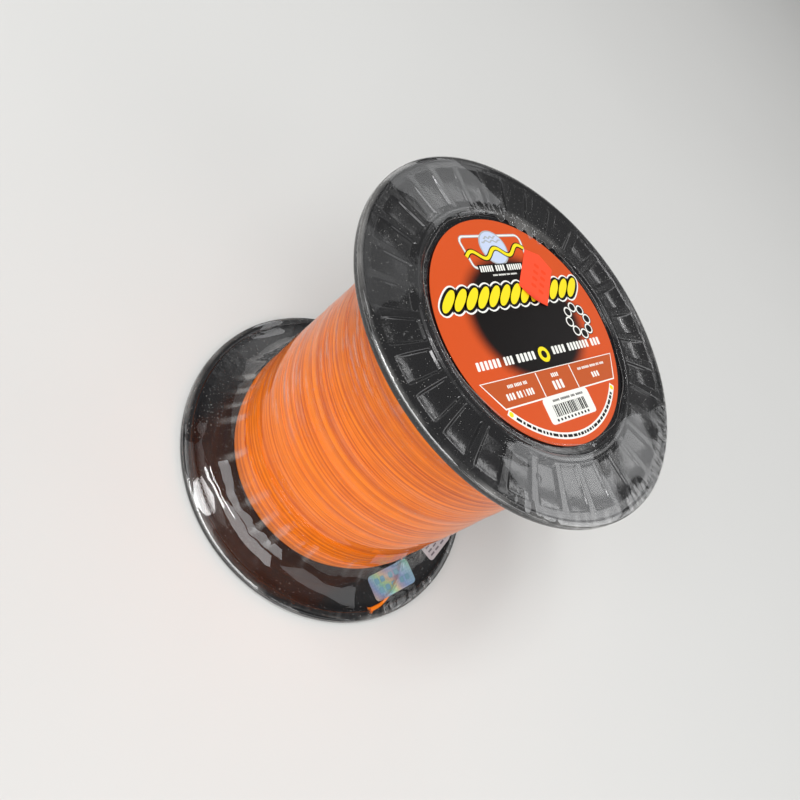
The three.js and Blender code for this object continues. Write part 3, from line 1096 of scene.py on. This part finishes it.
def prism(outline, low, high):
    """A closed flat plate over an outline."""
    count = len(outline)
    points = [(x, y, low) for x, y in outline] + [(x, y, high) for x, y in outline]
    faces = [tuple(reversed(range(count))), tuple(range(count, 2 * count))]
    faces += [(k, (k + 1) % count, count + (k + 1) % count, count + k) for k in range(count)]
    return points, faces


def ribbon(line, width):
    """The outline of a stroke of even width along a line of points."""
    line = np.asarray(line, float)
    along = np.gradient(line, axis=0)
    along /= np.maximum(np.linalg.norm(along, axis=1, keepdims=True), 1e-9)
    across = np.stack([-along[:, 1], along[:, 0]], axis=-1) * width / 2
    return np.vstack([line - across, (line + across)[::-1]])


class Artwork:
    """Collects flat plates of ink in layers above the label, in millimetres."""

    def __init__(self, floor, materials):
        self.floor = floor
        self.names = list(materials)
        self.materials = list(materials.values())
        self.parts = []

    def lay(self, outline, name, layer):
        """One plate of ink in a named colour. layer 1 lies on the label, 2 on layer 1."""
        low = self.floor - 0.02 * MM
        high = self.floor + 0.022 * MM * layer
        points, faces = prism(np.asarray(outline) * MM, low, high)
        self.parts.append((points, faces, self.names.index(name)))

    def bars(self, widths, x, y, height, name, layer, gap, slant=0.0, cell=None):
        """A row of blocks in place of words. cell splits each block into narrow ones."""
        if cell:
            for width in widths:
                count = max(1, round(width / cell))
                part = width / count
                self.bars([0.66 * part] * count, x, y, height, name, layer, 0.34 * part, slant)
                x += width + gap
            return
        for width in widths:
            lean = slant * height / 2
            box = [
                (x - lean, y - height / 2, 0.25), (x + width - lean, y - height / 2, 0.25),
                (x + width + lean, y + height / 2, 0.25), (x + lean, y + height / 2, 0.25),
            ]
            limit = min(width, height) * 0.3
            box = [(a, b, min(c, limit)) for a, b, c in box]
            self.lay(rounded(box, steps=2), name, layer)
            x += width + gap


def rope_lobes(start, end, y, height, count):
    """The leaning lobes of a laid rope between two places."""
    pitch = (end - start) / count
    lobes = []
    for i in range(count):
        x = start + pitch * (i + 0.5)
        t = np.linspace(0, math.tau, 26, endpoint=False)
        along, across = np.sin(t) * height * 0.5, np.cos(t) * pitch * 0.5
        lean = 0.62 * along + 0.10 * height * np.sin(math.pi * along / height)
        lobes.append(np.stack([x + across + lean, y + along], axis=-1))
    return lobes


def make_label(context):
    settings = context.scene.spool_print
    radius, low, high = LABEL_HIGH.x, LABEL_LOW.z, LABEL_HIGH.z
    stock = label_stock(settings, (0.6 * MM, 3.2 * MM), (25.5 * MM, 21.5 * MM))
    points, faces = pillow(circle(0, 0, radius, 160), low, high, rings=16)
    mesh = joined_mesh("label_disc", [(points, faces, 0)])
    piece("label_disc", mesh, [stock], "label", "front_label")
    art = Artwork(high, {
        "yellow": ink("Yellow Ink", settings.yellow),
        "white": ink("White Ink", settings.white, speckle=0.02),
        "black": ink("Black Ink", settings.black),
        "table": ink("Table Ink", settings.table),
        "ice": ink("Ice Ink", settings.ice),
        "steel": ink("Steel Ink", settings.steel, gloss=0.22),
    })
    draw_emblem(art)
    draw_rope(art)
    draw_strand_ring(art)
    draw_line_of_blocks(art)
    draw_table(art)
    draw_code_box(art)
    draw_edge_band(art)
    piece("label_print", joined_mesh("label_print", art.parts), art.materials, "label", sharp=30)


def frame_ring(outline, width):
    """A frame as a set of plates, one for each stretch of a closed outline."""
    outer, inner = widened(outline, width / 2), widened(outline, -width / 2)
    count = len(outline)
    return [[outer[k], outer[(k + 1) % count], inner[(k + 1) % count], inner[k]] for k in range(count)]


def draw_emblem(art):
    """A badge: a tapering frame, a disc of water with waves, and a bent hook."""
    badge = rounded([(-12.6, 20.8, 1.6), (13.4, 20.8, 1.6), (15.0, 31.6, 2.0), (-14.2, 31.6, 2.0)])
    for plate in frame_ring(badge, 1.0):
        art.lay(plate, "steel", 1)
    for plate in frame_ring(badge, 0.5):
        art.lay(plate, "white", 2)
    art.lay(circle(0.1, 27.4, 6.1), "steel", 3)
    art.lay(circle(0.1, 27.4, 5.6), "ice", 4)
    t = np.linspace(-1, 1, 30)
    for y, reach in ((29.6, 4.4), (31.0, 2.9)):
        wave = np.stack([0.1 + reach * t, y + 0.35 * np.sin(9 * t)], axis=-1)
        art.lay(ribbon(wave, 0.5), "steel", 5)
    t = np.linspace(0, 1, 60)
    swing = np.stack([-14.0 + 28.4 * t, 24.7 + 1.9 * t + 1.5 * np.sin(5 * math.pi * t)], axis=-1)
    art.lay(ribbon(swing, 1.9), "black", 5)
    art.lay(ribbon(swing, 1.15), "yellow", 6)
    art.lay(rounded_box(-0.4, 20.3, 21.6, 2.9, 0.4), "black", 3)
    art.bars([6.2, 4.6, 7.6], -10.6, 20.3, 2.1, "white", 4, 0.9, slant=0.2, cell=1.05)
    art.bars([2.2, 3.4, 1.6, 3.0], -6.0, 18.0, 0.6, "white", 2, 0.4, cell=0.5)


def draw_rope(art):
    """A laid rope across the label, in yellow with a black and a white edge."""
    lobes = rope_lobes(-32.0, 32.2, 11.2, 7.2, 13)
    for layer, (by, name) in enumerate(((1.2, "white"), (0.65, "black"), (-0.22, "yellow")), 2):
        for lobe in lobes:
            art.lay(widened(lobe, by), name, layer)


def draw_strand_ring(art):
    """The section of a hollow braid: eight strands in a ring."""
    x, y, ring, dot = 24.6, -0.6, 4.75, 1.45
    spots = [
        (x + ring * math.cos(a), y + ring * math.sin(a))
        for a in np.linspace(0, math.tau, 8, endpoint=False)
    ]
    for layer, (grow, name) in enumerate(((0.62, "black"), (0.36, "white"), (-0.15, "black")), 2):
        for px, py in spots:
            art.lay(circle(px, py, dot + grow, 28), name, layer)


def draw_line_of_blocks(art):
    """A line of white blocks with a yellow disc in its middle."""
    art.bars([10.4, 4.4, 9.0], -30.2, -8.8, 2.6, "white", 2, 1.3, slant=0.12, cell=1.7)
    art.lay(circle(-0.2, -9.2, 3.0), "black", 2)
    art.lay(circle(-0.2, -9.2, 2.5), "yellow", 3)
    art.lay(circle(-0.2, -9.2, 1.2), "black", 4)
    art.bars([7.0, 11.6, 5.4], 4.4, -8.6, 2.6, "white", 2, 1.2, slant=0.12, cell=1.7)


def draw_table(art):
    """A ruled panel of three cells."""
    top, bottom = -13.7, -21.9
    outline = np.array([(-26.4, bottom), (28.0, bottom), (32.7, top), (-32.0, top)])
    art.lay(outline, "table", 2)
    for plate in frame_ring(outline, 0.5):
        art.lay(plate, "white", 3)
    for x in (-8.1, 8.7):
        art.lay(rounded_box(x, (top + bottom) / 2, 0.4, 7.6, 0.1), "white", 3)
    art.bars([2.6, 3.4, 1.8], -22.0, -16.0, 1.0, "white", 3, 0.5, cell=0.62)
    art.bars([3.8, 2.4, 0.5, 3.4], -24.0, -18.9, 2.0, "white", 3, 0.7, cell=1.2)
    art.bars([3.6], -1.6, -15.9, 1.3, "white", 3, 0.5, cell=0.9)
    art.bars([5.4], -2.6, -19.0, 2.8, "white", 3, 0.45, cell=1.8)
    art.bars([2.0, 4.0, 3.2, 1.6, 2.4], 12.0, -16.0, 0.8, "white", 3, 0.4, cell=0.55)
    art.bars([4.2], 17.8, -18.9, 1.8, "white", 3, 0.4, cell=1.4)


def draw_code_box(art):
    """A white box with upright bars of mixed widths."""
    art.lay(rounded_box(0.5, -26.0, 22.4, 7.9, 1.1), "white", 4)
    art.bars([3.2, 4.6, 2.0, 3.6], -6.2, -23.3, 0.7, "black", 5, 0.6, cell=0.5)
    draw = np.random.default_rng(9)
    x = -7.4
    while x < 8.6:
        width = draw.choice([0.22, 0.22, 0.42, 0.6])
        art.lay(rounded_box(x + width / 2, -26.3, width, 3.6, 0.02), "black", 5)
        x += width + draw.choice([0.2, 0.3, 0.5])
    art.bars([0.8] * 10, -8.0, -29.0, 0.8, "black", 5, 0.9)


def draw_edge_band(art):
    """A white band along the lower edge with small blocks on it and a dot at each end."""
    middle, width = 34.6, 2.0
    start, end = math.radians(-139), math.radians(-43)
    angles = np.linspace(start, end, 60)
    line = np.stack([middle * np.cos(angles), middle * np.sin(angles)], axis=-1)
    art.lay(ribbon(line, width), "white", 2)
    draw = np.random.default_rng(31)
    angle = start + 0.09
    while angle < end - 0.12:
        sweep = draw.uniform(0.02, 0.06)
        part = np.linspace(angle, angle + sweep, 8)
        stroke = np.stack([middle * np.cos(part), middle * np.sin(part)], axis=-1)
        art.lay(ribbon(stroke, 0.85), "black", 3)
        angle += sweep + 0.014
    for at in (start + 0.035, end - 0.035):
        art.lay(circle(middle * math.cos(at), middle * math.sin(at), 0.8, 20), "yellow", 3)


# ---- Stickers ------------------------------------------------------------------------------------


def placed(outline, x, y, turn):
    """An outline in millimetres, turned by degrees and moved, in metres."""
    a = math.radians(turn)
    outline = np.asarray(outline)
    spun = np.stack([
        outline[:, 0] * math.cos(a) - outline[:, 1] * math.sin(a) + x,
        outline[:, 0] * math.sin(a) + outline[:, 1] * math.cos(a) + y,
    ], axis=-1)
    return spun * MM


def add_blocks(parts, spots, size, place, low, high, lift):
    """Adds rounded blocks of ink to a sticker's parts, lifted as the sticker is."""
    for x, y in spots:
        stroke = placed(rounded_box(x, y, *size, 0.5), *place)
        points, faces = prism(stroke, low, high)
        parts.append(([(a, b, c + lift(a, b)) for a, b, c in points], faces, 1))


def make_price_sticker(context):
    settings = context.scene.spool_print
    corners = [
        (10.7, 0, 0.3), (8.4, 6, 0.3), (-8.4, 6, 0.3), (-10.7, 0, 0.3), (-8.4, -6, 0.3), (8.4, -6, 0.3),
    ]
    outline = placed(refined(rounded(corners, steps=2), 0.8), *PRICE_PLACE)
    middle = outline.mean(axis=0)
    turn = math.radians(PRICE_PLACE[2])
    along = np.array([math.cos(turn), math.sin(turn)])
    floor = LABEL_HIGH.z + 0.16 * MM
    stuck = 7.2 * MM  # beyond this distance the end curls up

    def lift(x, y):
        there = (np.array([x, y]) - middle) @ along
        rise = 0.09 / MM * max(0.0, -there - stuck) ** 2
        wave = 0.035 * MM * math.sin(there / (2.2 * MM)) * math.sin(x / (3.1 * MM))
        return rise + wave

    points, faces = pillow(outline, floor, floor + 0.11 * MM, rings=14, lift=lift)
    parts = [(points, faces, 0)]
    # Raised blocks stand for embossed marks. Their darker red ink paints the shading of the embossing.
    spots = [
        (-4.6 + 3.0 * place + 0.6 * row, y) for row, y in enumerate((-2.7, 0.4)) for place in range(4)
    ]
    add_blocks(parts, spots, (1.3, 2.1), PRICE_PLACE, floor, floor + 0.14 * MM, lift)
    paper = price_paper(settings)
    emboss_shade = ink("Emboss Shade Ink", tinted(settings.price, 0.84), gloss=0.5)
    piece("price_tag", joined_mesh("price_tag", parts), [paper, emboss_shade], "price_paper", "price_sticker")


def tail_bump(x, y):
    """How far a sticker is pushed up by the line that runs under it."""
    route = np.array(TAIL_ROUTE) * MM
    starts, ends = route[:-1], route[1:]
    along = ends - starts
    share = np.clip(((np.array([x, y]) - starts) * along).sum(1) / (along ** 2).sum(1), 0, 1)
    away = np.linalg.norm(starts + along * share[:, None] - [x, y], axis=1).min()
    return 0.42 * MM * math.exp(-(away / (0.7 * MM)) ** 2)


def make_seal(floor):
    """The foil sticker that holds the line's end down."""
    outline = placed(refined(rounded_box(0, 0, 20, 9.5, 1.5), 0.6), *SEAL_PLACE)
    points, faces = pillow(outline, floor, floor + 0.06 * MM, rings=16, lift=tail_bump)
    parts = [(points, faces, 0)]
    rows = ((1.9, (-6.6, -3.9, 0.1, 3.0, 5.9)), (-1.6, (-6.0, -2.9, 0.0, 4.1, 7.0)))
    spots = [(x, y) for y, row in rows for x in row]
    add_blocks(parts, spots, (2.0, 2.1), SEAL_PLACE, floor, floor + 0.085 * MM, tail_bump)
    teal = ink("Teal Ink", linear(112, 158, 178), gloss=0.3)
    mesh = joined_mesh("inspection_sticker", parts)
    piece("inspection_sticker", mesh, [hologram_foil(), teal], "hologram", "hologram_sticker")


def make_lot_sticker(floor, shade):
    """The paper sticker beside it, with rows of grey blocks."""
    top = floor + 0.1 * MM
    outline = placed(refined(rounded_box(0, 0, 17, 8.5, 1.5), 0.6), *LOT_PLACE)
    mesh = joined_mesh("batch_sticker", [(*pillow(outline, floor, top, rings=8), 0)])
    piece("batch_sticker", mesh, [plain_paper("Lot Paper", shade)], "lot_paper", "lot_sticker")
    art = Artwork(top, {"grey": ink("Grey Ink", linear(120, 112, 120))})
    for y in (-2.6, -0.9, 0.8, 2.5):
        for x in (-5.6, -2.2, 1.6, 5.2):
            art.lay(placed(rounded_box(x, y, 2.4, 0.7, 0.2), *LOT_PLACE) / MM, "grey", 1)
    piece("batch_print", joined_mesh("batch_print", art.parts), art.materials, "lot_paper", sharp=30)


def make_inner_stickers(context):
    floor = REAR_HIGH.z - COLLARS + 0.06 * MM
    make_seal(floor)
    make_lot_sticker(floor, tuple(context.scene.spool_print.lot))


# ---- Film ----------------------------------------------------------------------------------------


def film_profile(settings, flange):
    """The film's line from the hole over the label to the hole behind, as (radius, height)."""
    off = settings.stand_off
    front = FLANGE_HIGH.z - flange.rim_height
    rear = REAR_LOW.z + flange.rim_height
    ring, radius = flange.ring_radius, flange.radius
    waist = PACK_MIDDLE + 0.35 * MM
    cone = 5.5 * MM
    outline = [
        (settings.hole_radius, front + flange.face_height + 0.12 * MM, 0),
        (ring - 1.1 * MM, front + flange.rim_height + off, 0.5 * MM),
        (radius + off, front + flange.rim_height + off, 0.6 * MM),
        (radius + off, front + 0.1 * MM, 0.9 * MM),
        (waist, front - cone, settings.fillet),
        (waist, rear + cone, settings.fillet),
        (radius + off, rear - 0.05 * MM, 1.1 * MM),
        (radius + off, 0.06 * MM, 0.9 * MM),
        (settings.hole_radius, 0.06 * MM, 0),
    ]
    return refined(rounded(outline, closed=False, steps=9), 1.15 * MM, closed=False)


def bay(angle, centre, half_width):
    """A soft weight round an angle. centre and half_width are in degrees."""
    gap = (angle - math.radians(centre) + math.pi) % math.tau - math.pi
    return np.exp(-((gap / math.radians(half_width)) ** 2))


def hole_shift(angle):
    """How far the edge of the front hole lies from its circle, all round."""
    lap = -2.3 * bay(angle, -118, 44) - 2.4 * bay(angle, 58, 15) + 0.4 * bay(angle, 150, 40)
    crumple = bay(angle, 58, 24) * ripple(angle, 0, 41, (24, 70), (0, 0), 12) * 0.9
    return (lap + crumple + 0.22 * ripple(angle, 0, 17, (2, 16), (0, 0), 12)) * MM


def patch(angle, height, centre, half_width, middle, half_height, weight):
    """A soft patch of weight at an angle in degrees and a height in millimetres."""
    across = (height - middle * MM) / (half_height * MM)
    return weight * bay(angle, centre, half_width) * np.exp(-across ** 2)


# Patches of painted reflection, white haze on the film that stands for mirrored lamps: what patch()
# takes after the angle and the height
GLINT_SPOTS = (
    (150, 26, 47, 24, 1.0), (166, 20, 86, 7, 1.2), (150, 12, 70, 9, 0.7), (-164, 14, 22, 8, 0.5),
    (-100, 60, 90, 8, 0.5),
)


def film_course(line):
    """The way out of the film along its line, and the share of the line travelled there."""
    step = np.gradient(line, axis=0)
    step /= np.linalg.norm(step, axis=1, keepdims=True)
    outward = np.stack([-step[:, 1], step[:, 0]], axis=-1)
    travelled = np.concatenate([[0], np.cumsum(np.linalg.norm(np.diff(line, axis=0), axis=1))])
    return outward, (travelled / travelled[-1])[:, None]


def make_film(context):
    settings, flange = context.scene.spool_film, context.scene.spool_flanges
    line = film_profile(settings, flange)
    columns = 480
    angle = np.linspace(0, math.tau, columns, endpoint=False)[None]
    outward, along = film_course(line)
    radius, height = line[:, :1], line[:, 1:]
    front = FLANGE_HIGH.z - flange.rim_height
    rear = REAR_LOW.z + flange.rim_height
    from_end = np.minimum(height - rear, front - height)
    on_sleeve = smooth_step(11 * MM, 17 * MM, from_end)
    near_corner = smooth_step(3 * MM, 9 * MM, from_end) * (1 - smooth_step(12 * MM, 22 * MM, from_end))
    on_rim = smooth_step(flange.radius - 6 * MM, flange.radius - 1 * MM, radius)
    on_front = smooth_step(front, front + 1.5 * MM, height)
    rough_side = bay(angle, -70, math.degrees(0.9))
    rear_rim = on_rim * (height < rear + 0.6 * MM)
    on_inner = (1 - on_sleeve) * (1 - on_front) * (1 - on_rim) * (height > 1 * MM)
    soft = ripple(angle, along, 2, (2, 9), (1.0, 8.0), 16)
    hoops = ripple(angle, along, 6, (1, 5), (12.0, 46.0), 22)
    pleats = ripple(angle, along, 9, (18, 60), (0.5, 3.0), 22)
    fine = ripple(angle, along, 13, (50, 120), (1.0, 10.0), 18)
    push = (  # amplitudes in millimetres
        0.045 * on_front * soft
        + on_sleeve * (0.06 * soft + 0.018 * hoops)
        + near_corner * (0.10 * pleats + 0.12 * soft)
        + on_inner * (0.22 * soft + 0.03 * pleats)
        + 0.05 * on_rim * rough_side * fine
        + 0.16 * rear_rim * (0.1 * pleats + 0.25 * fine * rough_side + soft)
    ) * MM
    push = np.maximum(push, -0.3 * MM * on_sleeve - 0.02 * MM)
    push = push * (height > 0.5 * MM)
    lip_start = flange.ring_radius - 1.1 * MM
    loose = smooth_step(lip_start, settings.hole_radius, radius) * on_front
    shift = loose * hole_shift(angle)
    new_radius = radius + push * outward[:, :1] + shift
    new_height = height + push * outward[:, 1:]
    crumple = bay(angle, 58, math.degrees(0.42))
    on_edge = smooth_step(43.5 * MM, 40.5 * MM, radius) * on_front
    new_height = new_height + on_edge * crumple * 0.35 * MM * np.abs(pleats + 0.6 * fine)
    points = np.stack([
        new_radius * np.cos(angle), new_radius * np.sin(angle), new_height + 0 * angle
    ], axis=-1)
    mesh = grid_mesh("shrink_wrap", points)
    rim_top = front + flange.rim_height
    on_fold = smooth_step(rim_top - 0.8 * MM, rim_top - 0.3 * MM, height)
    on_fold = on_fold + smooth_step(rear - 0.8 * MM, rear - 0.3 * MM, height) * (height < rear + MM)
    crease = np.clip(
        0.25 * on_sleeve * smooth_step(0.2, 2.2, hoops)
        + 0.6 * near_corner * smooth_step(0.4, 1.8, pleats)
        + 0.5 * on_rim * rough_side * smooth_step(-1.0, 2.0, fine)
        + 0.55 * smooth_step(flange.radius - 1.3 * MM, flange.radius - 0.6 * MM, radius) * on_fold
        - 0.2 * on_sleeve - 0.9 * on_rim * (1 - on_fold)
        + 0.4 * on_edge * crumple - 0.45 * loose * (1 - crumple),
        -0.9, 1,
    ) + 0 * angle
    lapped = 0.35 * bay(angle, -118, 44) * loose
    # Streaks of white haze where the film would mirror lamps: painted reflections.
    glint_strokes = smooth_step(0.2, 1.6, ripple(angle, along, 23, (5, 16), (30, 90), 26))
    streak = glint_strokes * sum(patch(angle, height, *spot) for spot in GLINT_SPOTS)
    marked(mesh, crease=crease.ravel(), streak=np.clip(streak + lapped, 0, 1).ravel())
    film = film_material(settings)
    piece("shrink_wrap", mesh, [film], "film", "shrink_film", "shrink_film_rear_fold", sharp=0)
    make_hole_edge(points[0], film)


def make_hole_edge(edge, film):
    """The thick curled edge that shrinking leaves round the hole."""
    loop = np.vstack([edge, edge[:1]])
    loop = loop + [0, 0, 0.05 * MM]
    points, faces = tube_mesh_part(loop, 0.11 * MM, sides=8)
    mesh = joined_mesh("shrink_wrap_edge", [(points, faces, 0)])
    marked(mesh, crease=-0.3, streak=0.5)
    piece("shrink_wrap_edge", mesh, [film], "film", sharp=0)


# ---- Operators, panel and run --------------------------------------------------------------------


class SPOOL_OT_stage(bpy.types.Operator):
    """Sets up the camera, the lights and the pale floor"""

    bl_idname = "spool.stage"
    bl_label = "Stage"

    def execute(self, context):
        settings = context.scene.spool_stage
        make_camera(settings)
        make_lights(settings)
        make_floor(settings)
        context.scene.view_settings.view_transform = "Standard"
        return {"FINISHED"}


class SPOOL_OT_flanges(bpy.types.Operator):
    """Builds the two moulded flanges with their pockets, rings and rims"""

    bl_idname = "spool.flanges"
    bl_label = "Flanges"

    def execute(self, context):
        make_flanges(context)
        return {"FINISHED"}


class SPOOL_OT_core(bpy.types.Operator):
    """Builds the core barrel, the bore tube and the strip that holds the first turn"""

    bl_idname = "spool.core"
    bl_label = "Core"

    def execute(self, context):
        make_core(context)
        return {"FINISHED"}


class SPOOL_OT_line(bpy.types.Operator):
    """Winds the braid turn by turn, with the turns that ride over the others"""

    bl_idname = "spool.line"
    bl_label = "Wound Line"

    def execute(self, context):
        make_line_pack(context)
        return {"FINISHED"}


class SPOOL_OT_tail(bpy.types.Operator):
    """Lays the loose end of the line under its sticker and frays its tip"""

    bl_idname = "spool.tail"
    bl_label = "Line Tail"

    def execute(self, context):
        make_line_tail(context)
        return {"FINISHED"}


class SPOOL_OT_label(bpy.types.Operator):
    """Builds the round label and its printed design"""

    bl_idname = "spool.label"
    bl_label = "Label"

    def execute(self, context):
        make_label(context)
        return {"FINISHED"}


class SPOOL_OT_stickers(bpy.types.Operator):
    """Builds the price sticker and the two stickers inside the rear flange"""

    bl_idname = "spool.stickers"
    bl_label = "Stickers"

    def execute(self, context):
        make_price_sticker(context)
        make_inner_stickers(context)
        return {"FINISHED"}


class SPOOL_OT_film(bpy.types.Operator):
    """Shrinks the clear film round the spool"""

    bl_idname = "spool.film"
    bl_label = "Shrink Film"

    def execute(self, context):
        make_film(context)
        return {"FINISHED"}


OPERATORS = (
    SPOOL_OT_stage, SPOOL_OT_flanges, SPOOL_OT_core, SPOOL_OT_line, SPOOL_OT_tail,
    SPOOL_OT_label, SPOOL_OT_stickers, SPOOL_OT_film,
)
SETTINGS = {
    "spool_flanges": FlangeSettings,
    "spool_line": LineSettings,
    "spool_print": PrintSettings,
    "spool_film": FilmSettings,
    "spool_stage": StageSettings,
}


class SPOOL_PT_workshop(bpy.types.Panel):
    """Lists the steps that build the spool"""

    bl_idname = "SPOOL_PT_workshop"
    bl_label = "Line Spool"
    bl_space_type = "VIEW_3D"
    bl_region_type = "UI"
    bl_category = "Spool"

    def draw(self, context):
        for operator in OPERATORS:
            self.layout.operator(operator.bl_idname)


def register():
    for cls in (*SETTINGS.values(), *OPERATORS, SPOOL_PT_workshop):
        bpy.utils.register_class(cls)
    for name, cls in SETTINGS.items():
        setattr(bpy.types.Scene, name, bpy.props.PointerProperty(type=cls))


def unregister():
    for name in SETTINGS:
        delattr(bpy.types.Scene, name)
    for cls in (SPOOL_PT_workshop, *reversed(OPERATORS), *reversed(list(SETTINGS.values()))):
        bpy.utils.unregister_class(cls)


def main():
    register()
    for operator in OPERATORS:
        group, name = operator.bl_idname.split(".")
        getattr(getattr(bpy.ops, group), name)()


if __name__ == "__main__":
    main()
